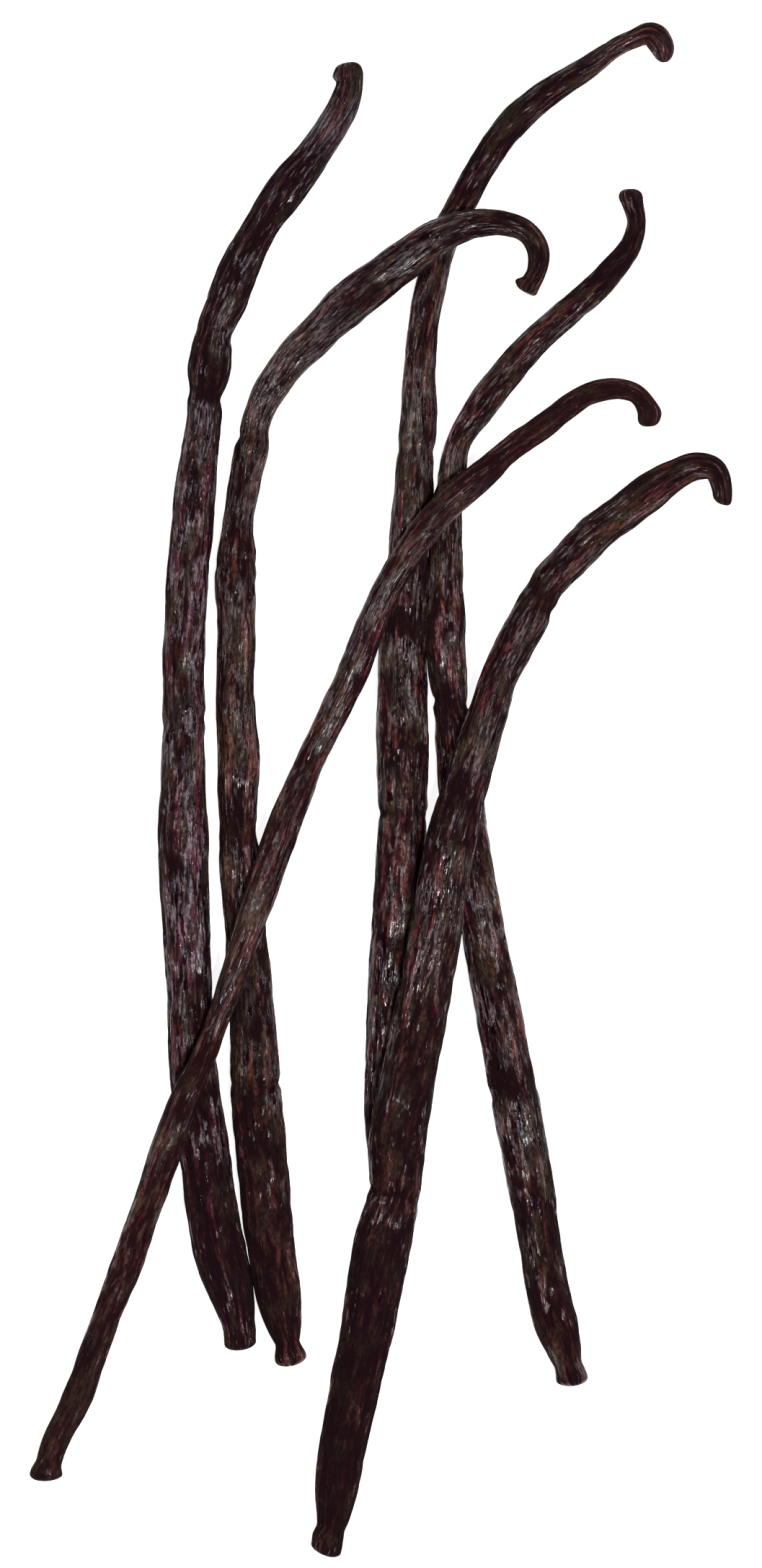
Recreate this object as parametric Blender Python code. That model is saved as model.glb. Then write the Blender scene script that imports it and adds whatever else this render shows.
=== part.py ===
"""Six cured vanilla pods lying across each other on a flat surface, seen from above in the photograph.

Each pod is a soft flattened tube. It runs from a hooked, cut stem end to a blossom end that tapers to a
neck and a small button. The pods are laid down one after another: a pod that crosses others rises over
them, sags back to the surface on both sides, and lies a little flattened where it rests.
All sizes below are millimetres. +X is right and +Y is up in the photograph, +Z is up from the surface.
"""
import math
from dataclasses import dataclass

import bmesh
import bpy
import numpy as np

MILLIMETRE = 0.001

# Section of a pod
SIDES = 12                 # corners round a section
THICKNESS_AT_ZERO = 1.2    # a pod's thickness is this much
THICKNESS_PER_WIDTH = 0.5  # plus this share of its width
FACE_DEPTH = 0.030         # how far the three soft faces sink in, as a share of the radius
FACE_TURN = 0.011          # how much the faces turn along the pod, in radians for each millimetre

# Ends of a pod
STEM_FLARE_LENGTH = 1.5    # how far the cut stem end's lip reaches along the pod
STEM_EDGE = 0.5            # rounding at the edge of the cut
STEM_FACE = 0.80           # size of the flat cut face, as a share of the stem there
TAPER_FULLNESS = 0.9       # how full the taper before the blossom end is: 1 is a quarter sine wave
BUTTON_SWELL = 1.6         # how soon the button reaches its full width behind the neck
BUTTON_ROUNDING = 1.1      # rounding of the blossom button
BUTTON_TIP = 0.94          # how far that rounding closes the button's tip: 1 is a point

# How the pods lie
GAP = 0.3                  # air left between two pods where they touch
REST_SINK = 0.17           # share of its half thickness that a lying pod is flattened by
SAG = 0.006                # how fast a pod sags beside what it lies on, in mm for each mm squared
BEND_SMOOTHING = 5.0       # length over which a pod's stiffness evens out its bends
SETTLING_ROUNDS = 6

# Steps along a pod
CURVE_STEPS = 24           # points of the smooth curve between two stations
ROUTE_STEP = 0.5           # spacing of the points that the route is worked out at
RING_STEP = 2.65           # spacing of the rings of corners along the body
END_RING_STEP = 0.95       # and near both ends, where a pod bends and tapers quickly
END_ZONE = 11.0            # length of that finer stretch
END_RINGS = (0.0, 0.12, 0.4)   # extra rings that round off each end, as shares of the first step

# Finish
ROUGHNESS = 0.42           # oily skin
EDGE_ANGLE = 50            # degrees past which an edge is shaded sharp


@dataclass(frozen=True)
class Pod:
    """One pod: its stations (x, y, width) from stem to blossom, its ends, and the pods it lies over."""
    name: str
    stations: tuple
    stem_lip: float        # how much wider the cut stem end is than the stem behind it
    neck: float            # width of the narrow place just before the button
    neck_place: float      # how far that place is from the blossom end
    button: float          # width of the button
    taper: float           # how far from the blossom end the body starts to taper
    turn: float            # where the three soft faces start, in radians
    colour: tuple
    over: tuple = ()


POD_OUTER_LEFT = Pod(
    "pod_outer_left",
    stations=(
        (-5.0, 105.8, 4.0), (-4.6, 102.8, 4.0), (-5.3, 100.0, 4.4), (-6.9, 96.9, 4.6), (-9.7, 92.7, 4.9),
        (-13.9, 87.0, 5.8), (-17.2, 82.4, 5.0), (-20.5, 75.9, 5.8), (-22.8, 70.2, 5.9), (-24.1, 67.2, 5.4),
        (-25.0, 61.6, 6.2), (-25.6, 57.0, 4.9), (-26.1, 51.8, 5.1), (-27.1, 44.4, 5.9), (-27.8, 36.0, 6.1),
        (-28.8, 17.5, 6.0), (-28.8, 3.5, 6.5), (-28.9, -7.6, 7.4), (-28.1, -27.0, 6.7), (-27.4, -41.0, 7.1),
        (-25.9, -52.2, 7.4), (-23.6, -67.4, 7.6), (-21.2, -76.4, 7.3), (-20.5, -81.9, 7.4)),
    stem_lip=0.1, neck=4.2, neck_place=2.9, button=4.7, taper=13.0, turn=0.4,
    colour=(0.036, 0.020, 0.017))

POD_INNER_LEFT = Pod(
    "pod_inner_left",
    stations=(
        (20.9, 72.1, 3.0), (22.6, 75.2, 2.9), (22.8, 78.3, 3.2), (21.1, 80.9, 3.3), (18.0, 82.1, 3.6),
        (13.2, 82.0, 4.5), (9.3, 80.7, 5.1), (1.8, 75.6, 6.0), (-3.7, 71.5, 6.5), (-9.6, 65.9, 5.5),
        (-13.3, 62.2, 5.2), (-16.6, 57.4, 4.7), (-18.5, 53.0, 4.2), (-18.8, 50.6, 4.8), (-20.0, 44.6, 4.6),
        (-20.8, 39.7, 4.4), (-21.2, 33.6, 5.8), (-21.2, 24.5, 5.6), (-21.3, 13.0, 5.6), (-20.8, 1.5, 6.2),
        (-20.9, -5.8, 5.4), (-20.7, -9.0, 5.9), (-19.8, -21.5, 6.0), (-18.9, -33.3, 6.7), (-18.3, -43.8, 7.4),
        (-16.7, -61.6, 7.3), (-15.1, -73.2, 6.8), (-13.1, -84.2, 6.7)),
    stem_lip=0.3, neck=3.6, neck_place=3.5, button=4.6, taper=11.5, turn=2.1,
    colour=(0.034, 0.019, 0.017), over=("pod_middle",))

POD_MIDDLE = Pod(
    "pod_middle",
    stations=(
        (41.2, 105.8, 2.7), (40.8, 108.3, 3.6), (39.2, 109.9, 3.4), (36.4, 109.1, 2.8), (29.6, 104.7, 3.4),
        (22.4, 99.9, 4.2), (18.7, 96.4, 4.3), (12.0, 86.0, 4.3), (8.9, 79.5, 4.3), (7.4, 73.8, 4.5),
        (5.5, 59.0, 4.8), (5.5, 53.2, 5.5), (5.0, 48.8, 5.3), (4.6, 43.4, 5.6), (4.0, 37.1, 5.5),
        (3.1, 25.5, 6.3), (3.1, 3.4, 7.6), (3.1, -3.6, 6.8), (2.8, -9.1, 7.2), (1.2, -35.4, 6.8),
        (0.4, -49.0, 5.8), (1.3, -59.6, 5.5)),
    stem_lip=0.0, neck=3.3, neck_place=3.0, button=3.8, taper=10.0, turn=1.2,
    colour=(0.038, 0.021, 0.018))

POD_RIGHT = Pod(
    "pod_right",
    stations=(
        (36.2, 87.4, 3.0), (36.7, 85.2, 3.0), (37.2, 82.4, 2.7), (36.7, 80.0, 3.0), (33.1, 74.8, 3.9),
        (25.4, 67.8, 4.0), (21.9, 64.5, 4.4), (14.0, 54.8, 4.4), (11.2, 50.3, 3.6), (10.3, 44.9, 3.9),
        (9.5, 31.8, 4.9), (9.8, 17.1, 5.7), (10.2, 12.4, 5.1), (11.1, 4.6, 6.0), (11.8, -2.8, 6.4),
        (14.9, -20.7, 6.3), (17.2, -33.3, 6.8), (19.6, -45.9, 6.9), (21.9, -58.5, 6.8), (23.2, -66.9, 6.2),
        (24.6, -74.8, 6.4), (26.5, -81.4, 6.3), (28.1, -87.1, 6.3)),
    stem_lip=0.2, neck=4.1, neck_place=3.4, button=4.7, taper=10.5, turn=0.0,
    colour=(0.040, 0.021, 0.018))

POD_SLIM = Pod(
    "pod_slim",
    stations=(
        (39.0, 52.7, 2.9), (38.8, 55.3, 3.0), (37.3, 57.4, 2.8), (34.7, 58.2, 3.1), (31.0, 57.7, 3.2),
        (23.5, 52.6, 3.6), (18.1, 48.8, 3.6), (15.0, 45.9, 4.2), (9.9, 41.5, 4.4), (0.1, 27.6, 4.0),
        (-4.3, 16.5, 4.6), (-10.1, 4.5, 4.1), (-13.7, -4.0, 4.9), (-17.6, -15.4, 4.6), (-21.6, -27.2, 3.8),
        (-25.7, -38.5, 3.4), (-28.4, -44.8, 4.3), (-31.2, -52.2, 4.6), (-34.0, -60.6, 4.4),
        (-36.2, -66.9, 4.6), (-41.3, -80.3, 4.1), (-44.9, -90.0, 4.3), (-47.8, -95.8, 4.0),
        (-49.1, -101.0, 4.0)),
    stem_lip=0.4, neck=3.8, neck_place=3.0, button=4.7, taper=6.0, turn=1.7,
    colour=(0.042, 0.022, 0.018), over=("pod_middle", "pod_right", "pod_inner_left", "pod_outer_left"))

POD_WIDE = Pod(
    "pod_wide",
    stations=(
        (49.8, 41.3, 2.8), (49.6, 43.9, 3.0), (48.5, 46.4, 3.2), (45.9, 46.8, 3.8), (42.7, 45.6, 4.5),
        (39.1, 43.2, 5.6), (35.3, 40.3, 5.3), (31.5, 37.4, 5.6), (27.3, 33.2, 5.5), (23.9, 29.3, 5.0),
        (21.4, 24.6, 5.7), (17.6, 17.2, 5.3), (14.2, 7.0, 6.1), (10.4, -6.0, 7.2), (7.1, -24.9, 7.8),
        (4.7, -38.0, 7.8), (2.2, -52.5, 8.3), (1.8, -59.0, 7.5), (0.4, -64.8, 8.2), (-2.3, -79.5, 7.7),
        (-4.3, -89.0, 7.2), (-6.3, -100.0, 6.7), (-7.0, -106.0, 6.8), (-8.3, -111.8, 6.8)),
    stem_lip=0.0, neck=4.1, neck_place=4.2, button=4.6, taper=13.5, turn=2.6,
    colour=(0.033, 0.018, 0.016), over=("pod_middle", "pod_right"))

# Laid down in this order
PODS = (POD_MIDDLE, POD_RIGHT, POD_OUTER_LEFT, POD_INNER_LEFT, POD_SLIM, POD_WIDE)


class Course:
    """A pod's centre line at even steps: places, distance along, width, thickness and height."""

    def __init__(self, pod):
        corners = np.array(pod.stations)
        x, y, width = smooth_curve(corners)
        steps = np.hypot(np.diff(x), np.diff(y))
        along = np.concatenate(([0.0], np.cumsum(steps)))
        self.length = along[-1]
        self.along = np.linspace(0.0, self.length, int(self.length / ROUTE_STEP) + 1)
        self.x = np.interp(self.along, along, x)
        self.y = np.interp(self.along, along, y)
        self.width = finished_width(pod, self.along, np.interp(self.along, along, width))
        self.thick = THICKNESS_AT_ZERO + THICKNESS_PER_WIDTH * self.width
        self.height = None


def ease(share):
    """0 to 1 with a soft start and end"""
    share = np.clip(share, 0.0, 1.0)
    return share * share * (3.0 - 2.0 * share)


def smooth_curve(corners):
    """Points of a smooth curve through the corners: cubic pieces whose slope at a corner is the mean of
    the slopes beside it, each weighed by how near that neighbour is"""
    places = np.concatenate(([0.0], np.cumsum(np.hypot(*np.diff(corners[:, :2], axis=0).T))))
    gaps = np.diff(places)[:, None]
    slopes = np.diff(corners, axis=0) / gaps
    bends = np.vstack((slopes[:1], (slopes[:-1] * gaps[1:] + slopes[1:] * gaps[:-1])
                       / (gaps[1:] + gaps[:-1]), slopes[-1:]))
    share = np.linspace(0.0, 1.0, CURVE_STEPS, endpoint=False)[:, None]
    rise, start, finish = share ** 2 * (3 - 2 * share), share * (1 - share) ** 2, share ** 2 * (share - 1)
    pieces = [corners[i] + rise * (corners[i + 1] - corners[i])
              + gaps[i] * (start * bends[i] + finish * bends[i + 1]) for i in range(len(gaps))]
    return np.vstack(pieces + [corners[-1:]]).T


def finished_width(pod, along, body):
    """Adds the stem's lip and the blossom end's taper, neck and button to the body's width"""
    stem = body + pod.stem_lip * np.exp(-(along / STEM_FLARE_LENGTH) ** 2)
    left = along[-1] - along
    opening = np.sin(np.clip((left - pod.neck_place) / (pod.taper - pod.neck_place), 0, 1) * math.pi / 2)
    tapered = pod.neck + (stem - pod.neck) * opening ** TAPER_FULLNESS
    button = (pod.button - pod.neck) * ease((pod.neck_place - left) / pod.neck_place * BUTTON_SWELL)
    return tapered + button


def heights(course, below):
    """Heights of a pod's centre line: resting on the surface, or over the pods below it, and sagging
    between, evened out as a pod's stiffness does"""
    half = course.thick / 2
    resting = half * (1.0 - REST_SINK)
    needed = resting.copy()
    for lower in below:
        across = np.hypot(course.x[:, None] - lower.x, course.y[:, None] - lower.y)
        nearest = np.argmin(across, axis=1)
        reach = (course.width + lower.width[nearest]) / 2 + GAP
        share = np.min(across, axis=1) / reach
        lift = (half + lower.thick[nearest] / 2 + GAP) * np.sqrt(np.clip(1.0 - share ** 2, 0.0, 1.0))
        needed = np.where(share < 1.0, np.maximum(needed, lower.height[nearest] + lift), needed)
    beside = SAG * (course.along[:, None] - course.along) ** 2
    height = np.maximum(resting, np.max(needed[None, :] - beside, axis=1))
    weights = np.exp(-(course.along[:, None] - course.along) ** 2 / BEND_SMOOTHING ** 2)
    weights /= weights.sum(axis=1, keepdims=True)
    for _ in range(SETTLING_ROUNDS):
        height = np.maximum(needed, weights @ height)
    return height


def lay_pods():
    """Course of every pod, laid down in order"""
    courses = {}
    for pod in PODS:
        course = Course(pod)
        course.height = heights(course, [courses[name] for name in pod.over])
        courses[pod.name] = course
    return courses


def ring_places(length):
    """Distances along a pod where its rings stand, closer together near the ends"""
    places, place = [share * END_RING_STEP for share in END_RINGS], END_RING_STEP
    while place < length / 2:
        places.append(place)
        near_end = 1.0 - ease(np.array((place - END_ZONE / 2) / END_ZONE))
        place += RING_STEP + (END_RING_STEP - RING_STEP) * float(near_end)
    return np.array(places + [length - place for place in reversed(places)])


def end_shares(places, length):
    """How much of the full section each ring keeps where the ends are rounded off"""
    stem = STEM_FACE + (1.0 - STEM_FACE) * ease(places / STEM_EDGE)
    left = np.clip(1.0 - (length - places) / BUTTON_ROUNDING, 0.0, 1.0)
    blossom = np.sqrt(1.0 - BUTTON_TIP * left ** 2)
    return stem * blossom


def ring_corners(pod, course):
    """Corners of all rings, as an array of rings by sides by x, y, z"""
    places = ring_places(course.length)
    at = {name: np.interp(places, course.along, getattr(course, name))
          for name in ("x", "y", "height", "width", "thick")}
    centre = np.stack((at["x"], at["y"], at["height"]), axis=1)
    ahead = np.gradient(np.stack((course.x, course.y, course.height), axis=1), axis=0)
    ahead = np.stack([np.interp(places, course.along, ahead[:, i]) for i in range(3)], axis=1)
    ahead /= np.linalg.norm(ahead, axis=1, keepdims=True)
    side = np.stack((ahead[:, 1], -ahead[:, 0], np.zeros(len(places))), axis=1)
    side /= np.linalg.norm(side, axis=1, keepdims=True)
    up = np.cross(side, ahead)
    angle = np.arange(SIDES) * 2 * math.pi / SIDES
    faces = 1.0 - np.cos(3 * angle[None, :] + pod.turn + FACE_TURN * places[:, None])
    reach = (1.0 - FACE_DEPTH / 2 * faces) * end_shares(places, course.length)[:, None]
    across = (reach * np.cos(angle) * at["width"][:, None] / 2)[:, :, None] * side[:, None, :]
    upward = (reach * np.sin(angle) * at["thick"][:, None] / 2)[:, :, None] * up[:, None, :]
    corners = centre[:, None, :] + across + upward
    corners[:, :, 2] = np.maximum(corners[:, :, 2], 0.0)
    return corners


def dark_skin(pod):
    """The pod's own near-black brown, with an oily sheen"""
    material = bpy.data.materials.new(pod.name + "_skin")
    material.use_nodes = True
    shader = material.node_tree.nodes["Principled BSDF"]
    shader.inputs["Base Color"].default_value = (*pod.colour, 1.0)
    shader.inputs["Roughness"].default_value = ROUGHNESS
    shader.inputs["Metallic"].default_value = 0.0
    material.diffuse_color = (*pod.colour, 1.0)
    return material


def make_pod(pod, corners):
    """Joins the rings into one closed skin with a fan at each end"""
    shape = bmesh.new()
    rings = [[shape.verts.new(corner) for corner in ring] for ring in corners]
    for ring, following in zip(rings, rings[1:]):
        for i in range(SIDES):
            j = (i + 1) % SIDES
            shape.faces.new((ring[i], ring[j], following[j], following[i]))
    for ring in (rings[0], rings[-1]):
        middle = shape.verts.new(sum((vert.co for vert in ring), ring[0].co * 0) / SIDES)
        for i in range(SIDES):
            shape.faces.new((ring[i], ring[(i + 1) % SIDES], middle))
    bmesh.ops.recalc_face_normals(shape, faces=shape.faces)
    bmesh.ops.triangulate(shape, faces=shape.faces)
    mesh = bpy.data.meshes.new(pod.name)
    shape.to_mesh(mesh)
    shape.free()
    mesh.shade_smooth()
    mesh.set_sharp_from_angle(angle=math.radians(EDGE_ANGLE))
    mesh.materials.append(dark_skin(pod))
    piece = bpy.data.objects.new(pod.name, mesh)
    bpy.context.scene.collection.objects.link(piece)
    return piece


def centred(all_corners):
    """The same corners in metres, with the bundle's box centred over the origin"""
    every = np.vstack([corners.reshape(-1, 3) for corners in all_corners.values()])
    middle = (every.min(axis=0) + every.max(axis=0)) / 2
    shift = np.array((middle[0], middle[1], 0.0))
    return {name: (corners - shift) * MILLIMETRE for name, corners in all_corners.items()}


def main():
    """Clears the scene and builds the bundle"""
    for old in list(bpy.data.objects):
        bpy.data.objects.remove(old, do_unlink=True)
    courses = lay_pods()
    all_corners = centred({pod.name: ring_corners(pod, courses[pod.name]) for pod in PODS})
    for pod in PODS:
        make_pod(pod, all_corners[pod.name])


main()
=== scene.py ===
"""Looks of a bundle of six cured vanilla pods that lie across each other on a pale floor.

Each pod's skin is a fine tube that follows the same centre line and widths as the pod's solid. Geometry
Nodes sweep the tube and press the wrinkles into it: long ridges, fine wrinkles on them, crinkles across,
soft lumps and dents, and the creases where a pod was bent while it dried. The oily skin is a node material
that reads the place on the straightened pod, so its streaks run along the pod as the wrinkles do. Its colour
holds painted shade in the furrows and creases, and painted highlights in its grey streaks.

Sizes of the pods are millimetres, in the photograph's frame: +X right, +Y up, +Z towards the camera.
"""
import logging
import math
from dataclasses import dataclass
from enum import Enum

import bpy
import numpy as np
from mathutils import Matrix, Vector

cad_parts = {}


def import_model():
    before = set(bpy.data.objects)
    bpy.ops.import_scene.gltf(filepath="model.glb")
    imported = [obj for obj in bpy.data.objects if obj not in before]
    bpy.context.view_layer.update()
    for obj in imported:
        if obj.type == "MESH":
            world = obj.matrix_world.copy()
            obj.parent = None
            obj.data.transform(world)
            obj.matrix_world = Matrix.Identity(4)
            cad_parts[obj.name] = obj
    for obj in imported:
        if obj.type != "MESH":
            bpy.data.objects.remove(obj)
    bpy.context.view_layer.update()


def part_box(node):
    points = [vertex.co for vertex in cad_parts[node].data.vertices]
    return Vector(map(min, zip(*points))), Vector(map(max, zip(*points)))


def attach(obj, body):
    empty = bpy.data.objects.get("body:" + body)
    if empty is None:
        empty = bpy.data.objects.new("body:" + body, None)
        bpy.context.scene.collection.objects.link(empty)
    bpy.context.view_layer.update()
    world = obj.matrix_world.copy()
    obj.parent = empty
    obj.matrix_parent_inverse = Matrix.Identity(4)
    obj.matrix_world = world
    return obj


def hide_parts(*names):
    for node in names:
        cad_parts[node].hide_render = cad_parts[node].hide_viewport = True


LOG = logging.getLogger("vanilla")

MILLIMETRE = 0.001

Socket = bpy.types.NodeSocket
Marks = dict[str, Socket]


class Slot(Enum):
    """Names of the pods' material slots."""

    SKIN = "pod_skin"
    RED_SKIN = "pod_skin_red"


@dataclass(frozen=True)
class Crease:
    """A crease across a pod: how far up the photograph it is, how deep and long, and how it slants."""

    y: float
    depth: float = 0.20
    length: float = 0.7
    slant: float = 0.0


@dataclass(frozen=True)
class Bulge:
    """A swelling, or a hollow where it is below zero, on the sides of a pod.

    Its place is counted from the stem end, or from the blossom end where it is below zero. Left and right
    are as someone sees them who walks along the pod from its stem end.
    """

    place: float
    left: float = 0.0
    right: float = 0.0
    length: float = 1.0


@dataclass(frozen=True)
class Shade:
    """A band of a pod, darker and drier than the rest, or brighter and oilier where it is below zero.

    Its middle is given by how far up the photograph it is, and its reach is half of its length.
    """

    # Where a band lies on a crease its darkening is painted shade; where its gloom is below zero, its
    # brightening is a painted grey sheen, a painted highlight.
    y: float
    reach: float
    gloom: float
    dryness: float


@dataclass(frozen=True)
class Finish:
    """Colours of one pod's skin, linear, and how oily it is.

    Roughness is that of the oily places and matte that of the dry ones. The two dry values are how rare
    large oily areas are along the pod's middle and at its ends. The grey-streak strength, rust and gloom are
    how strong the grey streaks, the rust-brown ones and the dark blotches are. The grey streaks are part
    grey dusting and part painted highlight, and the grey colour also paints a sheen on bands whose gloom is
    below zero.
    The furrow colour paints shade into the furrows, dark lines and creases, and also darkens the blotches
    and specks.
    """

    # furrow: near black, painted shade in the furrows, dark lines and creases, and the tone of the dark
    # blotches and specks
    furrow: tuple[float, float, float] = (0.0032, 0.0003, 0.0010)
    body: tuple[float, float, float] = (0.0590, 0.0082, 0.0148)
    ridge: tuple[float, float, float] = (0.1000, 0.0350, 0.0220)
    # grey: painted highlights and sheen, together with some grey dusting
    grey: tuple[float, float, float] = (0.1250, 0.0930, 0.1030)
    olive: tuple[float, float, float] = (0.0340, 0.0250, 0.0140)
    roughness: float = 0.15
    matte: float = 1.0
    dry_middle: float = 0.46
    dry_end: float = 0.53
    # strength of the grey streaks on shining places, part grey dusting and part painted highlight
    dust_and_glints: float = 0.4
    rust: float = 0.55
    gloom: float = 0.5


DARK_SKIN = Finish()
# This finish's grey, a painted highlight colour, is brighter and bluer
COOL_SKIN = Finish(
    body=(0.0560, 0.0080, 0.0205), grey=(0.1650, 0.1350, 0.1640), rust=0.35, roughness=0.13)
GREYER_SKIN = Finish(body=(0.0640, 0.0105, 0.0160), dry_middle=0.425, gloom=0.30)
BROWN_SKIN = Finish(
    body=(0.0580, 0.0110, 0.0140), ridge=(0.1050, 0.0400, 0.0230), dust_and_glints=0.3, rust=0.6, gloom=0.65)
REDDISH_SKIN = Finish(
    body=(0.0600, 0.0100, 0.0135), furrow=(0.0050, 0.0007, 0.0013), roughness=0.20, dust_and_glints=0.25, gloom=0.4)


@dataclass(frozen=True)
class Pod:
    """One pod: stations (x, y, width) from stem to blossom end, its ends, and the pods that it lies over.

    The stem end has a lip, and the blossom end tapers to a neck and swells to a button. The calm lengths are
    how far from each end the wrinkles take to reach their full strength.
    """

    name: str
    stations: tuple[tuple[float, float, float], ...]
    stem_lip: float
    neck: float
    neck_place: float
    button: float
    taper: float
    turn: float
    seed: int
    over: tuple[str, ...] = ()
    creases: tuple[Crease, ...] = ()
    bulges: tuple[Bulge, ...] = ()
    shades: tuple[Shade, ...] = ()
    stem_slant: float = 0.0
    blossom_slant: float = 0.0
    twist: float = 0.004
    wrinkling: float = 1.0
    stem_rounding: float = 1.05
    stem_squareness: float = 3.2
    calm_stem: float = 30.0
    calm_blossom: float = 25.0
    slot: Slot = Slot.SKIN
    finish: Finish = DARK_SKIN


OUTER_LEFT = Pod(
    "pod_outer_left",
    stations=(
        (-5.0, 105.8, 4.0), (-4.6, 102.8, 4.0), (-5.3, 100.0, 4.4), (-6.9, 96.9, 4.6), (-9.7, 92.7, 4.9),
        (-13.9, 87.0, 5.8), (-17.2, 82.4, 5.0), (-20.5, 75.9, 5.8), (-22.8, 70.2, 5.9), (-24.1, 67.2, 5.4),
        (-25.0, 61.6, 6.2), (-25.6, 57.0, 4.9), (-26.1, 51.8, 5.1), (-27.1, 44.4, 5.9), (-27.8, 36.0, 6.1),
        (-28.8, 17.5, 6.0), (-28.8, 3.5, 6.5), (-28.9, -7.6, 7.4), (-28.1, -27.0, 6.7), (-27.4, -41.0, 7.1),
        (-25.9, -52.2, 7.4), (-23.6, -67.4, 7.6), (-21.2, -76.4, 7.3), (-20.5, -81.9, 7.4)),
    stem_lip=0.1, neck=4.2, neck_place=2.9, button=4.7, taper=13.0, turn=0.4, seed=11,
    creases=(Crease(57.5, 0.32, 1.0, 0.3), Crease(66.0, 0.15), Crease(9.5, 0.2, 0.7, -0.2)),
    bulges=(Bulge(1.8, left=0.15, right=0.50, length=0.9), Bulge(-2.8, left=0.40, right=0.20)),
    shades=(Shade(95.0, 4.0, -0.15, -0.4), Shade(81.0, 11.0, 0.4, 0.3), Shade(61.0, 5.0, 0.5, 0.5),
            Shade(-17.0, 18.0, 0.30, 0.10), Shade(-67.0, 16.0, 0.72, 0.6)),
    stem_rounding=1.5, stem_squareness=2.6, finish=COOL_SKIN)

INNER_LEFT = Pod(
    "pod_inner_left",
    stations=(
        (20.9, 72.1, 3.0), (22.6, 75.2, 2.9), (22.8, 78.3, 3.2), (21.1, 80.9, 3.3), (18.0, 82.1, 3.6),
        (13.2, 82.0, 4.5), (9.3, 80.7, 5.1), (1.8, 75.6, 6.0), (-3.7, 71.5, 6.5), (-9.6, 65.9, 5.5),
        (-13.3, 62.2, 5.2), (-16.6, 57.4, 4.7), (-18.5, 53.0, 4.2), (-18.8, 50.6, 4.8), (-20.0, 44.6, 4.6),
        (-20.8, 39.7, 4.4), (-21.2, 33.6, 5.8), (-21.2, 24.5, 5.6), (-21.3, 13.0, 5.6), (-20.8, 1.5, 6.2),
        (-20.9, -5.8, 5.4), (-20.7, -9.0, 5.9), (-19.8, -21.5, 6.0), (-18.9, -33.3, 6.7),
        (-18.3, -43.8, 7.4), (-16.7, -61.6, 7.3), (-15.1, -73.2, 6.8), (-13.1, -84.2, 6.7)),
    stem_lip=0.3, neck=3.6, neck_place=3.5, button=4.6, taper=11.5, turn=2.1, seed=23,
    over=("pod_middle",),
    creases=(Crease(51.8, 0.25, 0.8, -0.2), Crease(33.0, 0.2, 0.8), Crease(-5.6, 0.2, 1.0, 0.3),
             Crease(-43.0, 0.25, 0.5)),
    bulges=(Bulge(0.9, left=0.55, right=0.05, length=0.6), Bulge(-1.5, left=0.12)),
    shades=(Shade(63.0, 8.0, -0.1, -0.25), Shade(-6.0, 3.5, 0.6, 0.5), Shade(-66.0, 19.0, 0.35, 0.55),
            Shade(-76.0, 6.0, 0.35, 0.2)),
    finish=BROWN_SKIN)

MIDDLE = Pod(
    "pod_middle",
    stations=(
        (41.2, 105.8, 2.7), (40.8, 108.3, 3.6), (39.2, 109.9, 3.4), (36.4, 109.1, 2.8), (29.6, 104.7, 3.4),
        (22.4, 99.9, 4.2), (18.7, 96.4, 4.3), (12.0, 86.0, 4.3), (8.9, 79.5, 4.3), (7.4, 73.8, 4.5),
        (5.5, 59.0, 4.8), (5.5, 53.2, 5.5), (5.0, 48.8, 5.3), (4.6, 43.4, 5.6), (4.0, 37.1, 5.5),
        (3.1, 25.5, 6.3), (3.1, 3.4, 7.6), (3.1, -3.6, 6.8), (2.8, -9.1, 7.2), (1.2, -35.4, 6.8),
        (0.4, -49.0, 5.8), (1.3, -59.6, 5.5)),
    stem_lip=0.0, neck=3.3, neck_place=3.0, button=3.8, taper=10.0, turn=1.2, seed=37,
    creases=(Crease(-3.6, 0.28, 0.6), Crease(25.0, 0.2, 1.0), Crease(49.0, 0.15), Crease(-17.0, 0.15)),
    bulges=(Bulge(3.9, right=0.30, length=1.3), Bulge(91.0, left=0.42, length=7.0),
            Bulge(104.0, left=0.40, length=6.5)),
    shades=(Shade(106.5, 2.5, -0.12, 0.0), Shade(95.0, 9.0, 0.4, 0.4), Shade(24.0, 2.5, 0.6, 0.5),
            Shade(-40.0, 20.0, 0.08, 0.05)),
    stem_slant=-0.1, stem_rounding=2.0, stem_squareness=2.3, finish=GREYER_SKIN)

RIGHT = Pod(
    "pod_right",
    stations=(
        (36.2, 87.4, 3.0), (36.7, 85.2, 3.0), (37.2, 82.4, 2.7), (36.7, 80.0, 3.0), (33.1, 74.8, 3.9),
        (25.4, 67.8, 4.0), (21.9, 64.5, 4.4), (14.0, 54.8, 4.4), (11.2, 50.3, 3.6), (10.3, 44.9, 3.9),
        (9.5, 31.8, 4.9), (9.8, 17.1, 5.7), (10.2, 12.4, 5.1), (11.1, 4.6, 6.0), (11.8, -2.8, 6.4),
        (14.9, -20.7, 6.3), (17.2, -33.3, 6.8), (19.6, -45.9, 6.9), (21.9, -58.5, 6.8), (23.2, -66.9, 6.2),
        (24.6, -74.8, 6.4), (26.5, -81.4, 6.3), (28.1, -87.1, 6.3)),
    stem_lip=0.2, neck=4.1, neck_place=3.4, button=4.7, taper=10.5, turn=0.0, seed=41,
    creases=(Crease(13.0, 0.40, 0.8, 0.25), Crease(44.0, 0.15), Crease(-44.0, 0.2)),
    bulges=(Bulge(1.2, left=0.10, right=0.25, length=0.8), Bulge(60.0, right=0.42, length=7.0),
            Bulge(72.0, right=0.38, length=6.0)),
    shades=(Shade(76.0, 6.0, 0.4, 0.4), Shade(12.5, 2.5, 0.6, 0.5), Shade(-43.0, 2.5, 0.6, 0.5),
            Shade(-72.0, 10.0, 0.35, 0.35)),
    stem_slant=-0.20, blossom_slant=-0.15, stem_rounding=1.3, stem_squareness=2.7)

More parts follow.
